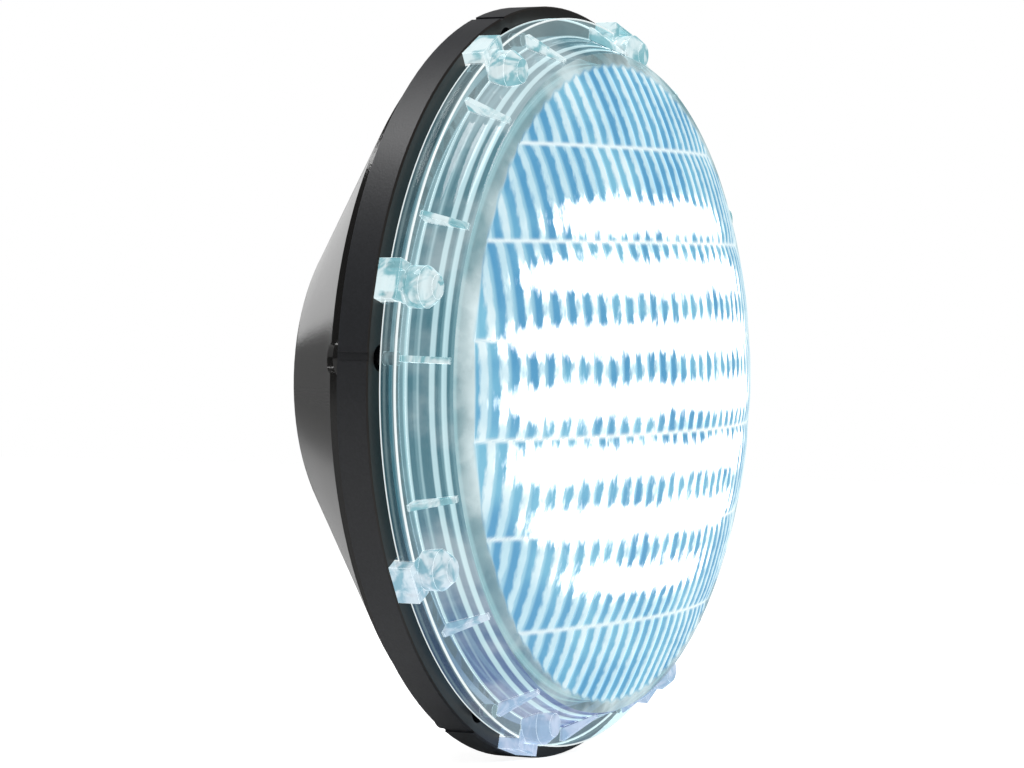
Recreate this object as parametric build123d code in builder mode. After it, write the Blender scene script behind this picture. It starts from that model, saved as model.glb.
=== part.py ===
"""Underwater pool light: a sealed PAR56 LED lamp for a wall niche, 178 mm across.

Frame: +Y is the lamp's axis and points to the rear, the lens looks along -Y, and +Z is up.
The origin is the centre of the rim's rear face, which is the face that seats in the niche.
All sizes are in millimetres. Angles about the axis start at -X and grow towards +Z.
"""

import math
import os

from build123d import *

# ---------------------------------------------------------------- driving dimensions
RIM_R = 88.9  # PAR56: 56 eighths of an inch across, 177.8 mm
RIM_FRONT = -7.7  # front face of the rim; its rear face is at 0

SHOULDER_R = 84.0  # short cylinder behind the rim
SHOULDER_Y = 4.6
BACK_R = 45.0  # where the cone would meet the flat back
BACK_CONE_Y = 36.8
BACK_Y = 40.3  # outer rear face
FLOOR_Y = 37.3  # inner rear face
CAVITY_R = 77.0
WALL = 3.0

FLANGE_R = 86.0  # clear cover's flange
FLANGE_BACK = -9.0
FLANGE_FRONT = -13.0
SIDE_FOOT_R = 81.6  # cover's side wall, at the flange
SHOULDER_EDGE_R = 77.5  # edge between the side wall and the lens
SHOULDER_EDGE_Y = -22.7
APEX_Y = -42.7
COVER_WALL = 3.0

LUG_COUNT = 8
LUG_START = 13.5
LUG_W = 9.2
LUG_R = 88.7
LUG_BACK = -7.9  # the loops reach back almost to the rim
WINDOW = (1.9, 4.8)
WINDOW_R = 86.8
BOSS_R = 4.7
BOSS_RING_R = 81.8
BOSS_FRONT = -19.5

RIB_COUNT = 16
RIB_START = 2.25
RIB_T = 1.4

SCREW_RIBS = [0, 3, 5, 8, 11, 13]  # gussets that have a cover screw behind them
SCREW_RING_R = 83.5
SCREW_HEAD_Y = -0.7  # under the screw head
SCREW_BOSS_Y = 1.6

SPREADER_R = 76.6
SPREADER_BACK = -4.0
SPREADER_FRONT = -7.0
POST_RING_R = 72.6
LEAD_HOLE_Z = -21.0

PAD_FRONT = -7.5
BOARD_R = 67.0
BOARD_FRONT = -9.1
LED_PITCH = 14.0
LED_ROWS = [3, 5, 7, 7, 7, 5, 3]
LED_SIZE = 5.0
LED_FRONT = -10.0
TRAY_OUTER_R = 69.5
TRAY_INNER_R = 68.0
TRAY_FRONT = -14.5

DRIVER_R = 44.0
DRIVER_FRONT = 14.0
DRIVER_BACK = 15.6
STANDOFF_RING_R = 33.0

TERMINAL_X = 11.0
BLOCK_BACK = 46.3
BUSH_R = 4.0
BUSH_TOP = 46.8
BUSH_BORE_R = 2.0
BUSH_BORE_Y = 36.0
WASHER = 9.0
WASHER_Y = 46.9
WASHER_T = 0.8
HEAD_Y = 47.75
HEAD_R = 4.0
HEAD_H = 2.6
SHANK_R = 1.95
SHANK_L = 10.0


# ---------------------------------------------------------------- helpers
def across(y, angle=0.0, radius=0.0):
    """A plane across the axis, facing the rear; its x axis points outwards at the angle."""
    a = math.radians(angle)
    outwards = Vector(-math.cos(a), 0, math.sin(a))
    return Plane(origin=outwards * radius + Vector(0, y, 0), x_dir=outwards, z_dir=(0, 1, 0))


def at_axis(y, x=0.0, z=0.0):
    """A plane across the axis, facing the rear, with x along +X and y along -Z."""
    return Plane(origin=(x, y, z), x_dir=(1, 0, 0), z_dir=(0, 1, 0))


def beside(angle):
    """A plane through the axis: x points outwards and y along +Y."""
    a = math.radians(angle)
    outwards = Vector(-math.cos(a), 0, math.sin(a))
    return Plane(origin=(0, 0, 0), x_dir=outwards, z_dir=outwards.cross(Vector(0, 1, 0)))


def ring_of(count, start):
    return [start + k * 360 / count for k in range(count)]


def led_points():
    """The LED centres as x and z."""
    points = []
    for row, count in enumerate(LED_ROWS):
        z = (len(LED_ROWS) - 1) / 2 * LED_PITCH - row * LED_PITCH
        for k in range(count):
            points.append(((k - (count - 1) / 2) * LED_PITCH, z))
    return points


LUG_ANGLES = ring_of(LUG_COUNT, LUG_START)
RIB_ANGLES = ring_of(RIB_COUNT, RIB_START)
SCREW_ANGLES = [RIB_ANGLES[k] for k in SCREW_RIBS]
POST_ANGLES = ring_of(6, 30.0)
STANDOFF_ANGLES = ring_of(4, 45.0)
TERMINALS = [("a", -TERMINAL_X), ("b", TERMINAL_X)]

os.makedirs("parts", exist_ok=True)

# ---------------------------------------------------------------- rear housing
cone_slope = (SHOULDER_R - BACK_R) / (BACK_CONE_Y - SHOULDER_Y)
cone_inset = WALL * math.sqrt(1 + cone_slope**2)  # the wall measured along the radius


def inner_cone_r(y):
    return SHOULDER_R - cone_inset - (y - SHOULDER_Y) * cone_slope


cavity_y = SHOULDER_Y + (SHOULDER_R - cone_inset - CAVITY_R) / cone_slope

with BuildPart() as rear_housing:
    with BuildSketch(Plane.XY):
        with BuildLine():
            Polyline(
                (0, BACK_Y),
                (BACK_R - 4.2, BACK_Y),
                (BACK_R, BACK_CONE_Y),
                (SHOULDER_R, SHOULDER_Y),
                (SHOULDER_R, 0),
                (RIM_R, 0),
                (RIM_R, RIM_FRONT + 0.4),
                (RIM_R - 0.4, RIM_FRONT),
                (CAVITY_R, RIM_FRONT),
                (CAVITY_R, cavity_y),
                (inner_cone_r(FLOOR_Y), FLOOR_Y),
                (0, FLOOR_Y),
                close=True,
            )
        make_face()
    revolve(axis=Axis.Y)
    back_edges = [
        edge
        for edge in rear_housing.edges().filter_by(GeomType.CIRCLE)
        if abs(edge.radius - BACK_R) < 0.01 or abs(edge.radius - BACK_R + 4.2) < 0.01
    ]
    fillet(back_edges, 2.2)
    # posts for the heat spreader
    for angle in POST_ANGLES:
        with BuildSketch(across(SPREADER_BACK, angle, POST_RING_R)):
            Circle(3.9)
            with Locations((3.0, 0)):
                Rectangle(6.0, 5.0)
        extrude(amount=9.0)
        with BuildSketch(across(SPREADER_BACK, angle, POST_RING_R)):
            Circle(1.3)
        extrude(amount=8.0, mode=Mode.SUBTRACT)
    # bosses, pockets, holes and front counterbores for the cover screws
    for angle in SCREW_ANGLES:
        with BuildSketch(across(-0.5, angle, SCREW_RING_R)):
            Circle(4.7)
        extrude(amount=0.5 + SCREW_BOSS_Y)
        with BuildSketch(across(SCREW_HEAD_Y, angle, SCREW_RING_R)):
            Circle(3.3)
        extrude(amount=12.0, mode=Mode.SUBTRACT)
        with BuildSketch(across(RIM_FRONT - 1, angle, SCREW_RING_R)):
            Circle(1.7)
        extrude(amount=SCREW_HEAD_Y - RIM_FRONT + 2, mode=Mode.SUBTRACT)
        with BuildSketch(across(RIM_FRONT - 1, angle, SCREW_RING_R)):
            Circle(3.0)
        extrude(amount=4.7, mode=Mode.SUBTRACT)
        with BuildSketch(across(RIM_FRONT - 1, angle, RIM_R)):
            Rectangle(0.8, 2.0)
        extrude(amount=-RIM_FRONT + 2, mode=Mode.SUBTRACT)
    # openings in the floor for the two terminal bushes
    for name, x in TERMINALS:
        with BuildSketch(at_axis(FLOOR_Y - 1, x)):
            Circle(BUSH_R + 0.05)
        extrude(amount=5.0, mode=Mode.SUBTRACT)
    # blind holes for the terminal block's screws
    for x in (-16.5, 16.5):
        with BuildSketch(at_axis(FLOOR_Y - 4.0, x, 8.5)):
            Circle(3.2)
        extrude(amount=4.5)
        with BuildSketch(at_axis(FLOOR_Y - 3.0, x, 8.5)):
            Circle(1.3)
        extrude(amount=8.0, mode=Mode.SUBTRACT)
rear_housing.part.label = "rear_housing"
export_step(rear_housing.part, "parts/rear_housing.step")

# ---------------------------------------------------------------- clear front cover
dome_rise = SHOULDER_EDGE_Y - APEX_Y
dome_r = (SHOULDER_EDGE_R**2 + dome_rise**2) / (2 * dome_rise)
dome_centre_y = APEX_Y + dome_r
inner_dome_r = dome_r - COVER_WALL
INNER_EDGE_R = 74.5
inner_edge_y = dome_centre_y - math.sqrt(inner_dome_r**2 - INNER_EDGE_R**2)
half_angle = math.asin(SHOULDER_EDGE_R / dome_r) / 2
dome_mid = (dome_r * math.sin(half_angle), dome_centre_y - dome_r * math.cos(half_angle))
inner_mid = (
    inner_dome_r * math.sin(half_angle),
    dome_centre_y - inner_dome_r * math.cos(half_angle),
)

with BuildPart() as front_cover:
    with BuildSketch(Plane.XY):
        with BuildLine():
            ThreePointArc((0, APEX_Y), dome_mid, (SHOULDER_EDGE_R, SHOULDER_EDGE_Y))
            Polyline(
                (SHOULDER_EDGE_R, SHOULDER_EDGE_Y),
                (SIDE_FOOT_R, FLANGE_FRONT),
                (FLANGE_R, FLANGE_FRONT),
                (FLANGE_R, FLANGE_BACK),
                (77.4, FLANGE_BACK),
                (INNER_EDGE_R, inner_edge_y),
            )
            ThreePointArc((INNER_EDGE_R, inner_edge_y), inner_mid, (0, APEX_Y + COVER_WALL))
            Line((0, APEX_Y + COVER_WALL), (0, APEX_Y))
        make_face()
    revolve(axis=Axis.Y)
    # loops on the flange, each with a window, and a rounded boss behind each loop
    for angle in LUG_ANGLES:
        with BuildSketch(across(FLANGE_FRONT - 0.3, angle, (84.0 + LUG_R) / 2)):
            Rectangle(LUG_R - 84.0, LUG_W)
        extrude(amount=LUG_BACK - FLANGE_FRONT + 0.3)
        with BuildSketch(across(FLANGE_FRONT, angle, BOSS_RING_R)):
            Circle(BOSS_R)
        extrude(amount=BOSS_FRONT + 2.5 - FLANGE_FRONT)
        with BuildSketch(across(BOSS_FRONT + 2.5, angle, BOSS_RING_R)):
            Circle(BOSS_R)
        extrude(amount=-2.5, taper=38)
        with BuildSketch(across(FLANGE_FRONT - 1, angle, WINDOW_R + 0.4)):
            Rectangle(*WINDOW)
        extrude(amount=8.0, mode=Mode.SUBTRACT)
    # gussets between the flange and the side wall
    for angle in RIB_ANGLES:
        with BuildSketch(beside(angle)):
            Polygon(
                (76.8, SHOULDER_EDGE_Y + 1.2),
                (77.6, SHOULDER_EDGE_Y + 0.6),
                (78.6, SHOULDER_EDGE_Y + 0.6),
                (84.6, FLANGE_FRONT - 0.6),
                (84.6, FLANGE_FRONT + 1.0),
                (79.5, FLANGE_FRONT + 1.0),
                align=None,
            )
        extrude(amount=RIB_T / 2, both=True)
    # blind pilots for the cover screws
    for angle in SCREW_ANGLES:
        with BuildSketch(across(FLANGE_BACK + 1, angle, SCREW_RING_R)):
            Circle(1.55)
        extrude(amount=-4.2, mode=Mode.SUBTRACT)
front_cover.part.label = "front_cover"
export_step(front_cover.part, "parts/front_cover.step")

# ---------------------------------------------------------------- cover gasket and screws
with BuildPart() as cover_gasket:
    with BuildSketch(at_axis(FLANGE_BACK)):
        Circle(80.2)
        Circle(77.8, mode=Mode.SUBTRACT)
    extrude(amount=RIM_FRONT - FLANGE_BACK)
cover_gasket.part.label = "cover_gasket"
export_step(cover_gasket.part, "parts/cover_gasket.step")

with BuildPart() as cover_screws:
    for angle in SCREW_ANGLES:
        with BuildSketch(across(SCREW_HEAD_Y, angle, SCREW_RING_R)):
            Circle(3.0)
        extrude(amount=2.0)
        with BuildSketch(across(SCREW_HEAD_Y, angle, SCREW_RING_R)):
            Circle(1.5)
        extrude(amount=-11.3)
        with BuildSketch(across(SCREW_HEAD_Y + 0.9, angle, SCREW_RING_R)):
            RegularPolygon(1.25, 6)
        extrude(amount=2.0, mode=Mode.SUBTRACT)
cover_screws.part.label = "cover_screws"
export_step(cover_screws.part, "parts/cover_screws.step")

# ---------------------------------------------------------------- heat spreader
with BuildPart() as heat_spreader:
    with BuildSketch(at_axis(SPREADER_FRONT)):
        Circle(SPREADER_R)
        with Locations((0, -LEAD_HOLE_Z)):
            Circle(3.0, mode=Mode.SUBTRACT)
    extrude(amount=SPREADER_BACK - SPREADER_FRONT)
    for angle in POST_ANGLES:
        with BuildSketch(across(SPREADER_FRONT - 1, angle, POST_RING_R)):
            Circle(1.7)
        extrude(amount=6.0, mode=Mode.SUBTRACT)
heat_spreader.part.label = "heat_spreader"
export_step(heat_spreader.part, "parts/heat_spreader.step")

with BuildPart() as spreader_screws:
    for angle in POST_ANGLES:
        with BuildSketch(across(SPREADER_FRONT, angle, POST_RING_R)):
            Circle(2.7)
        extrude(amount=-1.9)
        with BuildSketch(across(SPREADER_FRONT, angle, POST_RING_R)):
            Circle(1.3)
        extrude(amount=10.0)
        with BuildSketch(across(SPREADER_FRONT - 2.5, angle, POST_RING_R)):
            Rectangle(3.2, 0.8)
            Rectangle(0.8, 3.2)
        extrude(amount=1.4, mode=Mode.SUBTRACT)
spreader_screws.part.label = "spreader_screws"
export_step(spreader_screws.part, "parts/spreader_screws.step")

# ---------------------------------------------------------------- LED board and its LEDs
with BuildPart() as thermal_pad:
    with BuildSketch(at_axis(PAD_FRONT)):
        Circle(60.0)
        with Locations((0, -LEAD_HOLE_Z)):
            Circle(3.0, mode=Mode.SUBTRACT)
    extrude(amount=SPREADER_FRONT - PAD_FRONT)
thermal_pad.part.label = "thermal_pad"
export_step(thermal_pad.part, "parts/thermal_pad.step")

with BuildPart() as led_board:
    with BuildSketch(at_axis(BOARD_FRONT)):
        Circle(BOARD_R)
        with Locations((-2.0, -LEAD_HOLE_Z), (2.0, -LEAD_HOLE_Z)):
            Circle(1.1, mode=Mode.SUBTRACT)
    extrude(amount=PAD_FRONT - BOARD_FRONT)
led_board.part.label = "led_board"
export_step(led_board.part, "parts/led_board.step")

with BuildPart() as led_emitters:
    with BuildSketch(at_axis(LED_FRONT)):
        for x, z in led_points():
            with Locations((x, -z)):
                Rectangle(LED_SIZE, LED_SIZE)
    extrude(amount=BOARD_FRONT - LED_FRONT)
led_emitters.part.label = "led_emitters"
export_step(led_emitters.part, "parts/led_emitters.step")

with BuildPart() as led_domes:
    with BuildSketch(at_axis(LED_FRONT)):
        for x, z in led_points():
            with Locations((x, -z)):
                Circle(2.0)
    extrude(amount=-1.6, taper=24)
led_domes.part.label = "led_domes"
export_step(led_domes.part, "parts/led_domes.step")

with BuildPart() as led_reflector:
    with BuildSketch(at_axis(TRAY_FRONT)):
        Circle(TRAY_OUTER_R)
        Circle(TRAY_INNER_R, mode=Mode.SUBTRACT)
    extrude(amount=SPREADER_FRONT - TRAY_FRONT)
    with BuildSketch(at_axis(-12.0)):
        Circle(TRAY_INNER_R + 0.5)
        for x, z in led_points():
            with Locations((x, -z)):
                Circle(4.0, mode=Mode.SUBTRACT)
        with Locations((0, -LEAD_HOLE_Z)):
            SlotOverall(9.0, 3.4, mode=Mode.SUBTRACT)
    extrude(amount=1.0)
led_reflector.part.label = "led_reflector"
export_step(led_reflector.part, "parts/led_reflector.step")

with BuildPart() as led_leads:
    for x in (-2.0, 2.0):
        with BuildSketch(at_axis(BOARD_FRONT, x, LEAD_HOLE_Z)):
            Circle(0.9)
        extrude(amount=DRIVER_FRONT - BOARD_FRONT)
led_leads.part.label = "led_leads"
export_step(led_leads.part, "parts/led_leads.step")

# ---------------------------------------------------------------- driver
with BuildPart() as driver_board:
    with BuildSketch(at_axis(DRIVER_FRONT)):
        Circle(DRIVER_R)
    extrude(amount=DRIVER_BACK - DRIVER_FRONT)
    for angle in STANDOFF_ANGLES:
        with BuildSketch(across(DRIVER_FRONT - 1, angle, STANDOFF_RING_R)):
            Circle(1.6)
        extrude(amount=4.0, mode=Mode.SUBTRACT)
driver_board.part.label = "driver_board"
export_step(driver_board.part, "parts/driver_board.step")

with BuildPart() as driver_standoffs:
    for angle in STANDOFF_ANGLES:
        with BuildSketch(across(DRIVER_BACK, angle, STANDOFF_RING_R)):
            RegularPolygon(3.2, 6)
        extrude(amount=FLOOR_Y - DRIVER_BACK)
        with BuildSketch(across(DRIVER_BACK, angle, STANDOFF_RING_R)):
            Circle(1.25)
        extrude(amount=9.0, mode=Mode.SUBTRACT)
driver_standoffs.part.label = "driver_standoffs"
export_step(driver_standoffs.part, "parts/driver_standoffs.step")

with BuildPart() as driver_screws:
    for angle in STANDOFF_ANGLES:
        with BuildSketch(across(DRIVER_FRONT, angle, STANDOFF_RING_R)):
            Circle(2.7)
        extrude(amount=-1.9)
        with BuildSketch(across(DRIVER_FRONT, angle, STANDOFF_RING_R)):
            Circle(1.25)
        extrude(amount=8.0)
        with BuildSketch(across(DRIVER_FRONT - 2.5, angle, STANDOFF_RING_R)):
            Rectangle(3.2, 0.8)
            Rectangle(0.8, 3.2)
        extrude(amount=1.4, mode=Mode.SUBTRACT)
driver_screws.part.label = "driver_screws"
export_step(driver_screws.part, "parts/driver_screws.step")

with BuildPart() as driver_capacitors:
    with BuildSketch(at_axis(DRIVER_FRONT)):
        with Locations((-13.0, -8.0), (-13.0, 6.0)):
            Circle(5.0)
    extrude(amount=-14.0)
    capacitor_tops = driver_capacitors.faces().filter_by(Axis.Y).group_by(Axis.Y)[0].edges()
    fillet(capacitor_tops, 0.6)
driver_capacitors.part.label = "driver_capacitors"
export_step(driver_capacitors.part, "parts/driver_capacitors.step")

with BuildPart() as driver_inductor:
    with BuildSketch(at_axis(DRIVER_FRONT)):
        with Locations((12.0, -2.0)):
            Circle(7.5)
            Circle(3.0, mode=Mode.SUBTRACT)
    extrude(amount=-8.0)
    fillet(driver_inductor.faces().filter_by(Axis.Y).group_by(Axis.Y)[0].edges(), 1.5)
driver_inductor.part.label = "driver_inductor"
export_step(driver_inductor.part, "parts/driver_inductor.step")

with BuildPart() as bridge_rectifier:
    with BuildSketch(at_axis(DRIVER_FRONT)):
        with Locations((4.0, -26.0)):
            Rectangle(14.0, 6.0)
    extrude(amount=-10.0)
bridge_rectifier.part.label = "bridge_rectifier"
export_step(bridge_rectifier.part, "parts/bridge_rectifier.step")

with BuildPart() as driver_chip:
    with BuildSketch(at_axis(DRIVER_BACK)):
        with Locations((0, 6.0)):
            Rectangle(6.0, 5.0)
    extrude(amount=1.6)
driver_chip.part.label = "driver_chip"
export_step(driver_chip.part, "parts/driver_chip.step")

# ---------------------------------------------------------------- terminal block
with BuildPart() as terminal_block:
    with BuildSketch(at_axis(BACK_Y)):
        RectangleRounded(44.0, 26.0, 6.0)
    extrude(amount=BLOCK_BACK - BACK_Y)
    chamfer(terminal_block.faces().filter_by(Axis.Y).group_by(Axis.Y)[-1].edges(), 0.6)
    with BuildSketch(at_axis(BLOCK_BACK - 0.5)):
        Rectangle(1.8, 18.0)
    extrude(amount=4.0)
    for name, x in TERMINALS:
        with BuildSketch(at_axis(BACK_Y - 1, x)):
            Circle(BUSH_R + 0.05)
        extrude(amount=10.0, mode=Mode.SUBTRACT)
        with BuildSketch(at_axis(BACK_Y - 1, x)):
            Circle(6.1)
        extrude(amount=3.0, mode=Mode.SUBTRACT)
    for x in (-16.5, 16.5):
        with BuildSketch(at_axis(BACK_Y - 1, x, 8.5)):
            Circle(1.7)
        extrude(amount=10.0, mode=Mode.SUBTRACT)
        with BuildSketch(at_axis(BLOCK_BACK - 2.4, x, 8.5)):
            Circle(3.0)
        extrude(amount=4.0, mode=Mode.SUBTRACT)
terminal_block.part.label = "terminal_block"
export_step(terminal_block.part, "parts/terminal_block.step")

with BuildPart() as terminal_block_screws:
    for x in (-16.5, 16.5):
        with BuildSketch(at_axis(BLOCK_BACK - 2.4, x, 8.5)):
            Circle(2.7)
        extrude(amount=2.0)
        with BuildSketch(at_axis(BLOCK_BACK - 2.4, x, 8.5)):
            Circle(1.3)
        extrude(amount=-9.0)
        with BuildSketch(at_axis(BLOCK_BACK - 1.4, x, 8.5)):
            Rectangle(3.2, 0.8)
            Rectangle(0.8, 3.2)
        extrude(amount=2.0, mode=Mode.SUBTRACT)
terminal_block_screws.part.label = "terminal_block_screws"
export_step(terminal_block_screws.part, "parts/terminal_block_screws.step")

with BuildPart() as terminal_bushes:
    for name, x in TERMINALS:
        with BuildSketch(at_axis(FLOOR_Y - 3.5, x)):
            Circle(BUSH_R)
        extrude(amount=BUSH_TOP - FLOOR_Y + 3.5)
        with BuildSketch(at_axis(FLOOR_Y - 1.6, x)):
            RegularPolygon(5.5, 6)
        extrude(amount=1.6)
        with BuildSketch(at_axis(BUSH_BORE_Y, x)):
            Circle(BUSH_BORE_R)
        extrude(amount=BUSH_TOP - BUSH_BORE_Y + 1, mode=Mode.SUBTRACT)
terminal_bushes.part.label = "terminal_bushes"
export_step(terminal_bushes.part, "parts/terminal_bushes.step")

with BuildPart() as terminal_seals:
    for name, x in TERMINALS:
        with BuildSketch(Plane(origin=(x, BACK_Y + 1.0, 0), x_dir=(1, 0, 0), z_dir=(0, 0, 1))):
            with Locations((5.05, 0)):
                Circle(1.0)
        revolve(axis=Axis(origin=(x, 0, 0), direction=(0, 1, 0)))
terminal_seals.part.label = "terminal_seals"
export_step(terminal_seals.part, "parts/terminal_seals.step")

with BuildPart() as terminal_leads:
    for name, x in TERMINALS:
        with BuildSketch(at_axis(DRIVER_BACK, x)):
            Circle(0.9)
        extrude(amount=FLOOR_Y - 3.5 - DRIVER_BACK)
terminal_leads.part.label = "terminal_leads"
export_step(terminal_leads.part, "parts/terminal_leads.step")

# ---------------------------------------------------------------- terminal screws and washers
with BuildPart() as terminal_washer_a:
    with BuildSketch(at_axis(WASHER_Y, -TERMINAL_X)):
        RectangleRounded(WASHER, WASHER, 0.8)
        Circle(2.2, mode=Mode.SUBTRACT)
    extrude(amount=WASHER_T)
terminal_washer_a.part.label = "terminal_washer_a"
export_step(terminal_washer_a.part, "parts/terminal_washer_a.step")

with BuildPart() as terminal_screw_a:
    with BuildSketch(at_axis(HEAD_Y, -TERMINAL_X)):
        Circle(HEAD_R)
    extrude(amount=HEAD_H)
    fillet(terminal_screw_a.faces().filter_by(Axis.Y).group_by(Axis.Y)[-1].edges(), 1.2)
    with BuildSketch(at_axis(HEAD_Y, -TERMINAL_X)):
        Circle(SHANK_R)
    extrude(amount=-SHANK_L)
    with BuildSketch(at_axis(HEAD_Y + HEAD_H - 1.3, -TERMINAL_X)):
        Rectangle(9.0, 1.0)
    extrude(amount=2.0, mode=Mode.SUBTRACT)
terminal_screw_a.part.label = "terminal_screw_a"
export_step(terminal_screw_a.part, "parts/terminal_screw_a.step")

with BuildPart() as terminal_washer_b:
    with BuildSketch(at_axis(WASHER_Y, TERMINAL_X)):
        RectangleRounded(WASHER, WASHER, 0.8)
        Circle(2.2, mode=Mode.SUBTRACT)
    extrude(amount=WASHER_T)
terminal_washer_b.part.label = "terminal_washer_b"
export_step(terminal_washer_b.part, "parts/terminal_washer_b.step")

with BuildPart() as terminal_screw_b:
    with BuildSketch(at_axis(HEAD_Y, TERMINAL_X)):
        Circle(HEAD_R)
    extrude(amount=HEAD_H)
    fillet(terminal_screw_b.faces().filter_by(Axis.Y).group_by(Axis.Y)[-1].edges(), 1.2)
    with BuildSketch(at_axis(HEAD_Y, TERMINAL_X)):
        Circle(SHANK_R)
    extrude(amount=-SHANK_L)
    with BuildSketch(at_axis(HEAD_Y + HEAD_H - 1.3, TERMINAL_X)):
        Rectangle(9.0, 1.0)
    extrude(amount=2.0, mode=Mode.SUBTRACT)
terminal_screw_b.part.label = "terminal_screw_b"
export_step(terminal_screw_b.part, "parts/terminal_screw_b.step")
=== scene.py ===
import math

import bmesh
import bpy
import numpy as np
from mathutils import Matrix, Vector


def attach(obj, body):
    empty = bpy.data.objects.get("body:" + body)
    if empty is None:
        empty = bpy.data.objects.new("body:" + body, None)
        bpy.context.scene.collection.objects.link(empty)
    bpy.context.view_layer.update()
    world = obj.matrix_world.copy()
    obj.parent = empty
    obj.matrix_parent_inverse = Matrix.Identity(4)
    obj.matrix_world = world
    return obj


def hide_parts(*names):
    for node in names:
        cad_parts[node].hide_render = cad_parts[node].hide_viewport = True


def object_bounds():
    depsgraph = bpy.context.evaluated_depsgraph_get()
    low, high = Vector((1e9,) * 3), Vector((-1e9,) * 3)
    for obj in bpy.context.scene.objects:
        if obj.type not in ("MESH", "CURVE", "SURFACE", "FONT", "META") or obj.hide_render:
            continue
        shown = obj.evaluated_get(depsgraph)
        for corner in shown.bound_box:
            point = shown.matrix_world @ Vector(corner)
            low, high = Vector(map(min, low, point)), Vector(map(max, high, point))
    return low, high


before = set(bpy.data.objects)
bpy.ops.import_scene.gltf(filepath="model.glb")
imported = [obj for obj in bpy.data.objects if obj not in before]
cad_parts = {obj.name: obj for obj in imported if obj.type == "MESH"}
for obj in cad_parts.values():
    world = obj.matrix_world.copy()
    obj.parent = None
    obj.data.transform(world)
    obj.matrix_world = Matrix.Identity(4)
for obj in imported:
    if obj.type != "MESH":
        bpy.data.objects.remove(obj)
cad_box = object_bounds()
MM = 0.001

# sizes of the rim, the cover and the LED rows, in metres, as in the CAD
RIM_FRONT_Y = -7.7 * MM
SHOULDER_R = 77.5 * MM
SHOULDER_Y = -22.7 * MM
APEX_Y = -42.7 * MM
RISE = SHOULDER_Y - APEX_Y
DOME_R = (SHOULDER_R**2 + RISE**2) / (2 * RISE)
DOME_CENTRE_Y = APEX_Y + DOME_R
SIDE_FOOT_R = 81.6 * MM
FLANGE_R = 86.0 * MM
FLANGE_FRONT_Y = -13.0 * MM
FLANGE_BACK_Y = -9.0 * MM
LED_PITCH = 14.0 * MM
LED_ROWS = 7

# sizes of the fluted pattern and the painted glow of the LED rows, which only the visual lens has
FLUTE_PITCH = 5.0 * MM
FLUTE_DEPTH = 0.6 * MM
FLUTE_EDGE_R = 72.8 * MM
ROW_PITCH = 22.0 * MM
ROW_CROWN = 0.5 * MM
SEAM_WIDTH = 0.45 * MM
PATTERN_TILT = math.radians(2.7)
GLOW_DROP = 3.0 * MM
GLOW_WIDTH = 4.4 * MM
GLOW_SHIFT = 7 * MM
GLOW_OUTER_R = 66 * MM
GLOW_FULL_R = 50 * MM

scene = bpy.context.scene


# ---------------------------------------------------------------- camera
def place_camera():
    yaw, pitch, roll = math.radians(-62.64), math.radians(-0.8), math.radians(1.36)
    target = Vector((0, RIM_FRONT_Y, 0))
    distance = 0.8976
    back = Vector(
        (math.sin(yaw) * math.cos(pitch), -math.cos(yaw) * math.cos(pitch), math.sin(pitch))
    )
    right = Vector((math.cos(yaw), math.sin(yaw), 0))
    up = back.cross(right)
    rolled_right = math.cos(roll) * right + math.sin(roll) * up
    rolled_up = -math.sin(roll) * right + math.cos(roll) * up
    camera = bpy.data.objects.new("camera", bpy.data.cameras.new("camera"))
    scene.collection.objects.link(camera)
    turn = Matrix((rolled_right, rolled_up, back)).transposed()
    camera.matrix_world = Matrix.Translation(target + back * distance) @ turn.to_4x4()
    camera.data.sensor_width = 36.0
    camera.data.lens = 132.9
    camera.data.shift_x = -0.0428
    camera.data.shift_y = -0.0016
    camera.data.clip_start = 0.01
    camera.data.clip_end = 50
    scene.camera = camera


place_camera()


# ---------------------------------------------------------------- material helpers
def new_material(name):
    material = bpy.data.materials.new(name)
    material.use_nodes = True
    material.node_tree.nodes.clear()
    return material, material.node_tree


def feed(tree, socket, value):
    """Links a value that is a socket, and sets any other."""
    if isinstance(value, bpy.types.NodeSocket):
        tree.links.new(value, socket)
    else:
        socket.default_value = value


def put(tree, kind, **values):
    """Adds a shader node and feeds the inputs named, with _ for a space."""
    node = tree.nodes.new(kind)
    for key, value in values.items():
        feed(tree, node.inputs[key.replace("_", " ")], value)
    return node


def math_node(tree, operation, a, b=0.0, clamp=False):
    node = tree.nodes.new("ShaderNodeMath")
    node.operation = operation
    node.use_clamp = clamp
    for socket, value in zip(node.inputs, (a, b)):
        feed(tree, socket, value)
    return node.outputs[0]


def mix_colour(tree, factor, a, b):
    node = tree.nodes.new("ShaderNodeMix")
    node.data_type = "RGBA"
    for index, value in ((0, factor), (6, a), (7, b)):
        feed(tree, node.inputs[index], value)
    return node.outputs[2]


def mix_shader(tree, factor, a, b):
    node = tree.nodes.new("ShaderNodeMixShader")
    for socket, value in zip(node.inputs, (factor, a, b)):
        feed(tree, socket, value)
    return node.outputs[0]


def step(tree, value, low, high, out_low=0.0, out_high=1.0):
    """Runs smoothly from out_low to out_high while the value goes from low to high."""
    node = tree.nodes.new("ShaderNodeMapRange")
    node.interpolation_type = "SMOOTHSTEP"
    tree.links.new(value, node.inputs["Value"])
    node.inputs["From Min"].default_value = low
    node.inputs["From Max"].default_value = high
    node.inputs["To Min"].default_value = out_low
    node.inputs["To Max"].default_value = out_high
    return node.outputs["Result"]


def position(tree):
    coords = tree.nodes.new("ShaderNodeTexCoord")
    return coords.outputs["Object"]


def attribute(tree, name):
    node = tree.nodes.new("ShaderNodeAttribute")
    node.attribute_name = name
    return node.outputs["Fac"]


def output(tree, shader):
    end = tree.nodes.new("ShaderNodeOutputMaterial")
    tree.links.new(shader, end.inputs["Surface"])


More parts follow.
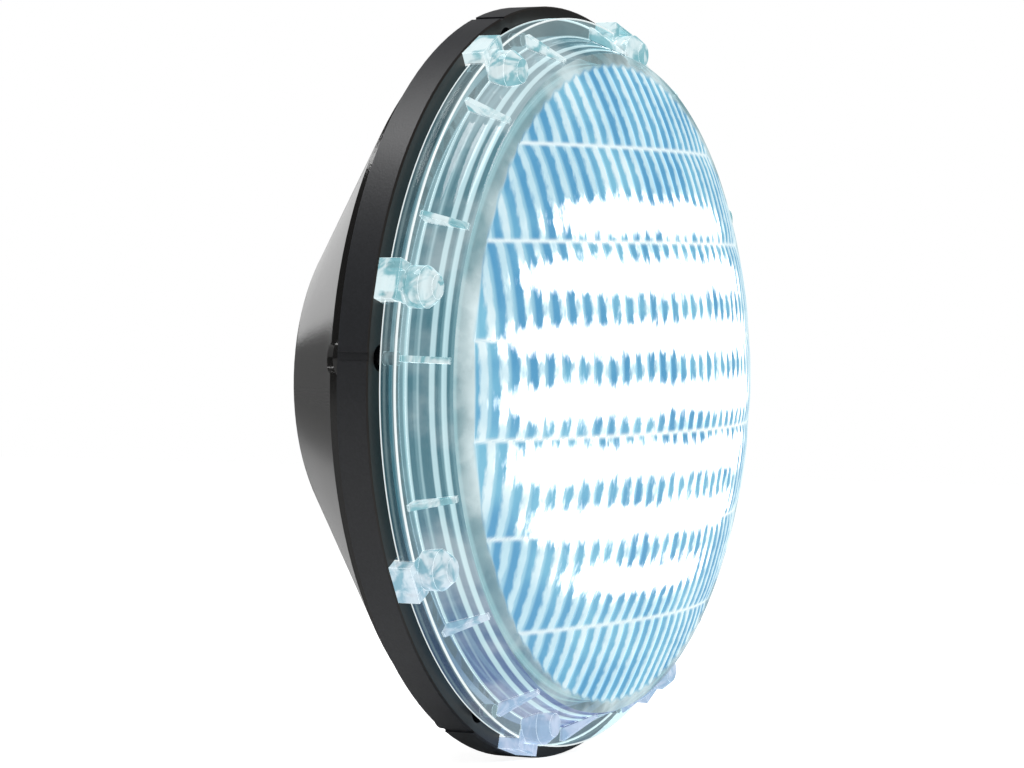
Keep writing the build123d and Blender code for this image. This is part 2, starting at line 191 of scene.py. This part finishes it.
def surface(name, colour, metallic=0.0, roughness=0.4, glow=None):
    """A plain material with a fine grain. A glow is its colour and strength."""
    material, tree = new_material(name)
    noise = put(tree, "ShaderNodeTexNoise", Vector=position(tree), Scale=900.0, Detail=3.0)
    rough = step(tree, noise.outputs["Fac"], 0.3, 0.7, roughness - 0.05, roughness + 0.05)
    tone = mix_colour(
        tree,
        noise.outputs["Fac"],
        (*[c * 0.92 for c in colour], 1),
        (*[min(1, c * 1.08) for c in colour], 1),
    )
    relief = put(tree, "ShaderNodeBump", Strength=0.05, Distance=0.0002, Height=noise.outputs["Fac"])
    shader = put(
        tree,
        "ShaderNodeBsdfPrincipled",
        Base_Color=tone,
        Roughness=rough,
        Metallic=metallic,
        Normal=relief.outputs["Normal"],
    )
    if glow:
        shader.inputs["Emission Color"].default_value = (*glow[0], 1)
        shader.inputs["Emission Strength"].default_value = glow[1]
    output(tree, shader.outputs["BSDF"])
    return material


def housing_material():
    """Glossy on the bowl behind the rim, satin on the rim itself."""
    material, tree = new_material("housing_black")
    coords = position(tree)
    parts = put(tree, "ShaderNodeSeparateXYZ", Vector=coords)
    y = parts.outputs["Y"]
    fine = put(tree, "ShaderNodeTexNoise", Vector=coords, Scale=1800.0, Detail=2.0)
    smears = put(tree, "ShaderNodeTexNoise", Vector=coords, Scale=30.0, Detail=3.0)
    is_bowl = step(tree, y, 0.0002, 0.0006)
    is_front = step(tree, y, RIM_FRONT_Y + 0.15 * MM, RIM_FRONT_Y + 0.5 * MM, 1.0, 0.0)
    rim = mix_colour(tree, fine.outputs["Fac"], (0.016, 0.017, 0.020, 1), (0.030, 0.032, 0.037, 1))
    face = mix_colour(tree, is_front, rim, (0.022, 0.017, 0.014, 1))
    tone = mix_colour(tree, is_bowl, face, (0.010, 0.0095, 0.009, 1))
    bowl_rough = step(tree, smears.outputs["Fac"], 0.3, 0.7, 0.09, 0.13)
    rim_rough = math_node(tree, "MULTIPLY", math_node(tree, "SUBTRACT", 1.0, is_bowl), 0.3)
    rough = math_node(tree, "ADD", bowl_rough, rim_rough)
    relief = put(tree, "ShaderNodeBump", Strength=0.12, Distance=0.0002, Height=fine.outputs["Fac"])
    shader = put(
        tree,
        "ShaderNodeBsdfPrincipled",
        Base_Color=tone,
        Roughness=rough,
        Normal=relief.outputs["Normal"],
    )
    output(tree, shader.outputs["BSDF"])
    return material


def clear_material():
    """The clear side wall, flange, loops, bosses and gussets, coloured by emission: a painted glow with
    painted highlight bands and blotches, a paler painted glow on the parts standing proud, thin painted
    highlights along the flange edges, and bluer towards the bottom.
    """
    material, tree = new_material("clear_cover")
    coords = position(tree)
    parts = put(tree, "ShaderNodeSeparateXYZ", Vector=coords)
    x, y, z = (parts.outputs[axis] for axis in "XYZ")
    square = math_node(tree, "ADD", math_node(tree, "MULTIPLY", x, x), math_node(tree, "MULTIPLY", z, z))
    radius = math_node(tree, "SQRT", square)
    wave = math_node(tree, "SINE", math_node(tree, "MULTIPLY", y, 2 * math.pi / 0.0027))
    wide = math_node(tree, "SINE", math_node(tree, "MULTIPLY", y, 2 * math.pi / 0.0071))
    # Painted highlight bands around the side wall, over the bumped ridges.
    highlight_stripes = step(tree, math_node(tree, "ADD", wave, math_node(tree, "MULTIPLY", wide, 0.6)), 0.1, 0.9)
    # Painted highlight blotches, placed at random.
    noise = put(tree, "ShaderNodeTexNoise", Vector=coords, Scale=38.0, Detail=5.0)
    highlight_patches = step(tree, noise.outputs["Fac"], 0.45, 0.60)
    within = step(tree, radius, FLANGE_R + 0.1 * MM, FLANGE_R + 0.3 * MM, 1.0, 0.0)
    behind = step(tree, y, FLANGE_FRONT_Y - 0.1 * MM, FLANGE_FRONT_Y)
    on_flange = step(tree, radius, SIDE_FOOT_R + 0.1 * MM, SIDE_FOOT_R + 0.4 * MM)
    on_flange = math_node(tree, "MULTIPLY", on_flange, math_node(tree, "MULTIPLY", within, behind))
    slope = (SIDE_FOOT_R - SHOULDER_R) / (FLANGE_FRONT_Y - SHOULDER_Y)
    wall = math_node(tree, "MULTIPLY_ADD", y, slope)
    wall.node.inputs[2].default_value = SHOULDER_R - SHOULDER_Y * slope
    beyond = step(tree, math_node(tree, "SUBTRACT", radius, wall), 0.00015, 0.00035)
    before_flange = step(tree, y, FLANGE_FRONT_Y - 0.2 * MM, FLANGE_FRONT_Y - 0.05 * MM, 1.0, 0.0)
    proud = math_node(tree, "MULTIPLY", beyond, before_flange)
    outside = step(tree, radius, FLANGE_R + 0.1 * MM, FLANGE_R + 0.3 * MM)
    proud = math_node(tree, "MAXIMUM", proud, outside)
    # The painted glow turns bluer towards the bottom.
    low = step(tree, z, -0.085, -0.02, 1.0, 0.0)
    tint = mix_colour(tree, low, (0.05, 0.17, 0.22, 1), (0.12, 0.16, 0.38, 1))
    painted_glow = mix_colour(tree, highlight_stripes, tint, (0.60, 0.86, 0.92, 1))
    painted_glow = mix_colour(tree, math_node(tree, "MULTIPLY", highlight_patches, 0.30), painted_glow, (0.95, 1, 1, 1))
    # Parts standing proud of the wall, such as the loops and bosses, get a paler painted glow, mottled
    # at random and bluer towards the bottom.
    inside = put(tree, "ShaderNodeTexNoise", Vector=coords, Scale=170.0, Detail=3.0, Distortion=1.2)
    grain = step(tree, inside.outputs["Fac"], 0.40, 0.60)
    proud_glow = mix_colour(tree, grain, (0.22, 0.50, 0.56, 1), (0.85, 0.98, 1.0, 1))
    proud_glow = mix_colour(tree, math_node(tree, "MULTIPLY", low, 0.6), proud_glow, (0.45, 0.52, 0.86, 1))
    painted_glow = mix_colour(tree, proud, painted_glow, proud_glow)
    # Thin painted highlights along the flange's front and back edges, at its outer rim.
    front_edge = step(tree, y, FLANGE_FRONT_Y + 0.3 * MM, FLANGE_FRONT_Y + 0.6 * MM, 1.0, 0.0)
    back_edge = step(tree, y, FLANGE_BACK_Y - 0.5 * MM, FLANGE_BACK_Y - 0.2 * MM)
    at_edge = math_node(tree, "MAXIMUM", front_edge, back_edge)
    outermost = step(tree, radius, FLANGE_R - 0.5 * MM, FLANGE_R - 0.3 * MM)
    edge_highlight_line = math_node(tree, "MULTIPLY", outermost, at_edge)
    edge_highlight_line = math_node(tree, "MULTIPLY", edge_highlight_line, on_flange)
    painted_glow = mix_colour(tree, edge_highlight_line, painted_glow, (0.93, 1, 1, 1))
    relief = put(tree, "ShaderNodeBump", Strength=0.3, Distance=0.0004, Height=wave)
    # The colour is emitted: a painted glow that the lamps don't light.
    gloss_and_painted_glow = put(
        tree,
        "ShaderNodeBsdfPrincipled",
        Base_Color=(0.10, 0.13, 0.14, 1),
        Roughness=0.08,
        Normal=relief.outputs["Normal"],
        Emission_Color=painted_glow,
        Emission_Strength=0.85,
    )
    clear = put(tree, "ShaderNodeBsdfTransparent", Color=(0.80, 0.93, 0.95, 1))
    share = step(tree, math_node(tree, "ADD", highlight_stripes, highlight_patches), 0.0, 2.0, 0.78, 0.9)
    thinning = math_node(tree, "MULTIPLY", on_flange, 0.75)
    share = math_node(tree, "MULTIPLY", share, math_node(tree, "SUBTRACT", 1.0, thinning))
    share = math_node(tree, "MAXIMUM", share, edge_highlight_line)
    output(tree, mix_shader(tree, share, clear.outputs[0], gloss_and_painted_glow.outputs["BSDF"]))
    return material


def edge_highlight_material():
    """The rounded edges of the clear plastic, with a painted highlight: they glow white."""
    material, tree = new_material("clear_cover_edge")
    noise = put(tree, "ShaderNodeTexNoise", Vector=position(tree), Scale=90.0, Detail=2.0)
    tone = mix_colour(tree, noise.outputs["Fac"], (0.80, 0.97, 1.0, 1), (1, 1, 1, 1))
    strength = step(tree, noise.outputs["Fac"], 0.35, 0.65, 1.0, 1.6)
    shader = put(
        tree,
        "ShaderNodeBsdfPrincipled",
        Base_Color=tone,
        Roughness=0.1,
        Emission_Color=tone,
        Emission_Strength=strength,
    )
    output(tree, shader.outputs["BSDF"])
    return material


def lens_material():
    """The fluted lens, coloured by emission: whitish ridges and joins between the rows as painted
    highlight, blue hollows as painted shade with one side of each flute painted lighter, a painted glow
    on the plain margin outside the flutes, and the lit LED rows behind it as a painted glow.
    """
    material, tree = new_material("fluted_lens")
    coords = position(tree)
    ridge, seam_highlight, glow, fade = (attribute(tree, n) for n in ("ridge", "seam_highlight", "glow", "fade"))
    drawn = put(tree, "ShaderNodeMapping", Vector=coords, Scale=(1.0, 1.0, 0.3))
    speckle = put(tree, "ShaderNodeTexNoise", Vector=drawn.outputs[0], Scale=900.0, Detail=5.0)
    cloud = put(tree, "ShaderNodeTexNoise", Vector=coords, Scale=55.0, Detail=3.0)
    streaks = put(tree, "ShaderNodeTexNoise", Vector=coords, Scale=130.0, Detail=5.0)
    streak = step(tree, streaks.outputs["Fac"], 0.42, 0.60)
    ragged = math_node(tree, "SUBTRACT", speckle.outputs["Fac"], 0.5)
    broken = math_node(tree, "MULTIPLY", math_node(tree, "SUBTRACT", cloud.outputs["Fac"], 0.5), 0.8)
    ridge = math_node(tree, "ADD", ridge, math_node(tree, "MULTIPLY", ragged, 0.9))
    ridge = math_node(tree, "ADD", ridge, math_node(tree, "MULTIPLY", broken, 0.25))
    # Whitish ridges are a painted highlight; the blue hollows between them are painted shade.
    crest_highlight_mask = step(tree, ridge, 0.38, 0.90)
    # Painted glow of the LED rows behind the lens, stronger on the ridges.
    lit = math_node(tree, "ADD", glow, math_node(tree, "MULTIPLY", ragged, 1.0))
    lit = math_node(tree, "ADD", lit, broken)
    lit = math_node(tree, "ADD", lit, math_node(tree, "MULTIPLY", crest_highlight_mask, 0.35))
    lit = step(tree, lit, 0.25, 0.75)
    lit = math_node(tree, "MULTIPLY", lit, step(tree, glow, 0.02, 0.3))
    # The plain margin outside the flutes has a painted glow, cloudy and streaked, darker towards the
    # shoulder.
    soft = step(tree, cloud.outputs["Fac"], 0.25, 0.75)
    brim_glow = math_node(tree, "ADD", math_node(tree, "MULTIPLY", soft, 0.6), attribute(tree, "brim_glow"))
    brim_glow = math_node(tree, "ADD", brim_glow, math_node(tree, "MULTIPLY", streak, 0.15), clamp=True)
    brim_glow_colour = mix_colour(tree, brim_glow, (0.14, 0.24, 0.25, 1), (0.80, 0.93, 0.95, 1))
    patch = step(tree, cloud.outputs["Fac"], 0.35, 0.65)
    valley_shade_colour = mix_colour(tree, patch, (0.085, 0.33, 0.58, 1), (0.20, 0.52, 0.71, 1))
    # One side of each flute is painted lighter: painted shade that stays put whatever the lamps do.
    shaded = math_node(tree, "MULTIPLY", step(tree, attribute(tree, "flute_side_shade"), 0.35, 1.0), 0.65)
    valley_shade_colour = mix_colour(tree, shaded, valley_shade_colour, (0.42, 0.72, 0.84, 1))
    crest_highlight_colour = mix_colour(tree, patch, (0.56, 0.80, 0.90, 1), (0.80, 0.95, 0.99, 1))
    fluted = mix_colour(tree, crest_highlight_mask, valley_shade_colour, crest_highlight_colour)
    # Painted highlight along the joins between the rows.
    fluted = mix_colour(tree, seam_highlight, fluted, (0.85, 0.97, 1.0, 1))
    tone = mix_colour(tree, fade, brim_glow_colour, fluted)
    tone = mix_colour(tree, lit, tone, (1, 1, 1, 1))
    strength = math_node(tree, "ADD", math_node(tree, "MULTIPLY", lit, 0.9), 0.95)
    # The colour is emitted: painted glow, highlight and shade that the lamps don't light.
    gloss_and_painted_glow = put(
        tree,
        "ShaderNodeBsdfPrincipled",
        Base_Color=(0.06, 0.09, 0.10, 1),
        Roughness=0.1,
        Emission_Color=tone,
        Emission_Strength=strength,
    )
    clear = put(tree, "ShaderNodeBsdfTransparent", Color=(0.62, 0.85, 0.90, 1))
    covered = math_node(tree, "ADD", math_node(tree, "ADD", fade, lit), brim_glow)
    share = step(tree, covered, 0.0, 1.0, 0.5, 0.97)
    output(tree, mix_shader(tree, share, clear.outputs[0], gloss_and_painted_glow.outputs["BSDF"]))
    return material


# ---------------------------------------------------------------- the clear cover
def smoothstep(low, high, value):
    t = np.clip((value - low) / (high - low), 0, 1)
    return t * t * (3 - 2 * t)


def lens_surface(rings=230, spokes=900):
    """The fluted outer face of the lens as points, quads and per-point values; the values place the
    painted highlights, painted shade and painted glow.
    """
    radius = np.linspace(0, SHOULDER_R, rings + 1)[1:]
    turn = np.linspace(0, 2 * math.pi, spokes, endpoint=False)
    rr, tt = np.meshgrid(radius, turn, indexing="ij")
    x = np.concatenate([[0.0], (rr * np.cos(tt)).ravel()])
    z = np.concatenate([[0.0], (rr * np.sin(tt)).ravel()])
    r = np.hypot(x, z)
    along = x * math.cos(PATTERN_TILT) + z * math.sin(PATTERN_TILT)
    upward = -x * math.sin(PATTERN_TILT) + z * math.cos(PATTERN_TILT)
    row = np.floor(upward / ROW_PITCH + 0.5)
    share = upward / ROW_PITCH + 0.5 - row
    to_seam = np.minimum(share, 1 - share) * ROW_PITCH
    # The joins between the rows carry a painted highlight.
    seam_highlight = np.exp(-((to_seam / SEAM_WIDTH) ** 2))
    phase = 2 * math.pi * (along / FLUTE_PITCH + 0.5 * (row % 2))
    ridge = 0.5 + 0.5 * np.cos(phase)
    # Which side of the flute is painted lighter, as painted shade.
    flute_side_shade = 0.5 + 0.5 * np.sin(phase)
    edge_r = FLUTE_EDGE_R + 2.4 * MM * np.abs(upward) / SHOULDER_R + 0.5 * MM * ridge
    fade = smoothstep(edge_r, edge_r - 1.4 * MM, r)
    bulge = 4 * share * (1 - share)
    lower = fade * (FLUTE_DEPTH * (1 - ridge) + ROW_CROWN * (1 - bulge) ** 2)
    y = DOME_CENTRE_Y - np.sqrt(DOME_R**2 - r**2) + lower
    # Painted glow of the LED rows behind the lens, strongest in the middle.
    rows = (np.arange(LED_ROWS) - LED_ROWS // 2) * LED_PITCH - GLOW_DROP
    glow = sum(np.exp(-(((upward - level) / GLOW_WIDTH) ** 2)) for level in rows)
    core = smoothstep(GLOW_OUTER_R, GLOW_FULL_R, np.hypot(along + GLOW_SHIFT, upward * 1.12))
    glow = glow * core
    # Painted glow on the plain margin outside the flutes, fading out at the shoulder.
    brim_glow = smoothstep(SHOULDER_R - 0.5 * MM, FLUTE_EDGE_R - 1.0 * MM, r) * 0.35
    points = np.column_stack([x, y, z])
    quads = []
    first = 1 + np.arange(spokes)
    after = 1 + (np.arange(spokes) + 1) % spokes
    faces = [(0, int(b), int(a)) for a, b in zip(first, after)]
    for k in range(rings - 1):
        inner, outer = first + k * spokes, first + (k + 1) * spokes
        inner2, outer2 = after + k * spokes, after + (k + 1) * spokes
        quads.append(np.column_stack([inner, inner2, outer2, outer]))
    faces += [tuple(q) for q in np.concatenate(quads).tolist()]
    values = {"ridge": ridge * fade, "flute_side_shade": flute_side_shade, "seam_highlight": seam_highlight * fade}
    values.update({"glow": glow, "fade": fade, "brim_glow": brim_glow})
    return points, faces, values


def make_lens():
    points, faces, values = lens_surface()
    mesh = bpy.data.meshes.new("cover_lens")
    mesh.from_pydata(points.tolist(), [], faces)
    for name, data in values.items():
        layer = mesh.attributes.new(name, "FLOAT", "POINT")
        layer.data.foreach_set("value", data.astype(np.float32))
    mesh.polygons.foreach_set("use_smooth", [True] * len(mesh.polygons))
    lens = bpy.data.objects.new("cover_lens", mesh)
    scene.collection.objects.link(lens)
    mesh.materials.append(lens_material())
    return lens


def on_lens(face):
    """Says whether a face lies on the dome that the visual lens takes over."""
    centre = Vector((0, DOME_CENTRE_Y, 0))
    return all(
        abs((vert.co - centre).length - DOME_R) < 0.00005 and vert.co.y < SHOULDER_Y + 0.00005
        for vert in face.verts
    )


def smooth_copy(node, name, materials, width, dropped=None):
    """A piece with a CAD node's shape, shaded smooth, with its sharp edges rounded."""
    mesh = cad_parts[node].data.copy()
    mesh.name = name
    shape = bmesh.new()
    shape.from_mesh(mesh)
    bmesh.ops.remove_doubles(shape, verts=shape.verts, dist=0.000002)
    if dropped:
        bmesh.ops.delete(shape, geom=[f for f in shape.faces if dropped(f)], context="FACES")
    shape.to_mesh(mesh)
    shape.free()
    mesh.materials.clear()
    for material in materials:
        mesh.materials.append(material)
    if "custom_normal" in mesh.attributes:
        mesh.attributes.remove(mesh.attributes["custom_normal"])
    mesh.polygons.foreach_set("material_index", [0] * len(mesh.polygons))
    mesh.polygons.foreach_set("use_smooth", [True] * len(mesh.polygons))
    mesh.set_sharp_from_angle(angle=math.radians(30))
    piece = bpy.data.objects.new(name, mesh)
    scene.collection.objects.link(piece)
    bevel = piece.modifiers.new("edges", "BEVEL")
    bevel.limit_method = "ANGLE"
    bevel.angle_limit = math.radians(32)
    bevel.width = width
    bevel.segments = 2
    # The rounded edges take the last material; on the cover that is the painted edge highlight.
    bevel.material = len(materials) - 1
    bevel.use_clamp_overlap = True
    return piece


lens = make_lens()
cover_body = smooth_copy(
    "front_cover", "cover_body", [clear_material(), edge_highlight_material()], 0.3 * MM, on_lens
)
housing = smooth_copy("rear_housing", "housing_shell", [housing_material()], 0.25 * MM)
for piece, node in ((lens, "front_cover"), (cover_body, "front_cover"), (housing, "rear_housing")):
    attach(piece, "lamp")
    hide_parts(node)

# ---------------------------------------------------------------- materials of the CAD nodes
STEEL = ((0.55, 0.55, 0.57), 1.0, 0.28)
DARK_STEEL = ((0.12, 0.12, 0.13), 1.0, 0.35)
BRASS = ((0.72, 0.50, 0.20), 1.0, 0.3)
BLACK = ((0.015, 0.015, 0.016), 0.0, 0.45)
# colour, metallic and roughness of each CAD node
LOOKS = {
    "cover_gasket": ((0.02, 0.02, 0.02), 0.0, 0.6),
    "cover_screws": DARK_STEEL,
    "heat_spreader": ((0.75, 0.76, 0.78), 1.0, 0.35),
    "spreader_screws": STEEL,
    "thermal_pad": ((0.40, 0.42, 0.46), 0.0, 0.8),
    "led_board": ((0.85, 0.85, 0.82), 0.0, 0.5),
    "led_reflector": ((0.90, 0.88, 0.80), 0.0, 0.35),
    "led_leads": ((0.55, 0.04, 0.03), 0.0, 0.5),
    "driver_board": ((0.02, 0.16, 0.06), 0.0, 0.4),
    "driver_standoffs": BRASS,
    "driver_screws": STEEL,
    "driver_capacitors": ((0.03, 0.03, 0.06), 0.0, 0.3),
    "driver_inductor": ((0.45, 0.20, 0.08), 0.6, 0.4),
    "bridge_rectifier": BLACK,
    "driver_chip": BLACK,
    "terminal_block": BLACK,
    "terminal_block_screws": STEEL,
    "terminal_bushes": BRASS,
    "terminal_seals": ((0.01, 0.01, 0.01), 0.0, 0.55),
    "terminal_leads": BLACK,
    "terminal_washer_a": STEEL,
    "terminal_screw_a": STEEL,
    "terminal_washer_b": STEEL,
    "terminal_screw_b": STEEL,
}


def dress(node, material):
    """Gives a CAD node its material."""
    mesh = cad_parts[node].data
    mesh.materials.clear()
    mesh.materials.append(material)


for node, (colour, metallic, roughness) in LOOKS.items():
    dress(node, surface(node, colour, metallic, roughness))
dress("led_emitters", surface("led_emitters", (0.9, 0.85, 0.5), glow=((0.9, 0.97, 1.0), 1.5)))
dress("led_domes", surface("led_domes", (0.9, 0.95, 1.0), glow=((0.9, 0.97, 1.0), 2.5)))


# ---------------------------------------------------------------- floor, world and lights
def make_floor():
    mesh = bpy.data.meshes.new("floor")
    size, low = 6.0, cad_box[0][2]
    corners = [(-size, -size, low), (size, -size, low), (size, size, low), (-size, size, low)]
    mesh.from_pydata(corners, [], [(0, 1, 2, 3)])
    floor = bpy.data.objects.new("floor", mesh)
    scene.collection.objects.link(floor)
    material, tree = new_material("floor")
    noise = put(tree, "ShaderNodeTexNoise", Vector=position(tree), Scale=4.0)
    tone = mix_colour(tree, noise.outputs["Fac"], (0.92, 0.92, 0.92, 1), (0.95, 0.95, 0.95, 1))
    shader = put(tree, "ShaderNodeBsdfPrincipled", Base_Color=tone, Roughness=0.9)
    shader.inputs["Emission Color"].default_value = (1, 1, 1, 1)
    path = tree.nodes.new("ShaderNodeLightPath")
    lift = math_node(tree, "MULTIPLY", path.outputs["Is Camera Ray"], 0.9)
    tree.links.new(lift, shader.inputs["Emission Strength"])
    output(tree, shader.outputs["BSDF"])
    mesh.materials.append(material)


def make_light(name, place, target, size, power):
    data = bpy.data.lights.new(name, "AREA")
    data.shape = "RECTANGLE"
    data.size, data.size_y = size
    data.energy = power
    light = bpy.data.objects.new(name, data)
    light.location = place
    light.rotation_mode = "QUATERNION"
    light.rotation_quaternion = (Vector(target) - Vector(place)).to_track_quat("-Z", "Y")
    light.visible_camera = False
    scene.collection.objects.link(light)


make_floor()
make_light("key", (-0.30, 0.25, 1.1), (0, 0, 0), (0.6, 0.6), 9.0)
make_light("fill", (-0.6, -0.9, 0.4), (0, 0, 0), (0.8, 0.8), 0.6)
make_light("back", (0.90, 0.93, 0.42), (0, 0, 0.05), (0.55, 0.7), 0.8)

world = bpy.data.worlds.new("studio")
scene.world = world
world.use_nodes = True
background = world.node_tree.nodes["Background"]
background.inputs["Color"].default_value = (1, 1, 1, 1)
world_path = world.node_tree.nodes.new("ShaderNodeLightPath")
world_level = step(world.node_tree, world_path.outputs["Is Camera Ray"], 0.0, 1.0, 0.15, 1.0)
world.node_tree.links.new(world_level, background.inputs["Strength"])
scene.view_settings.view_transform = "Standard"
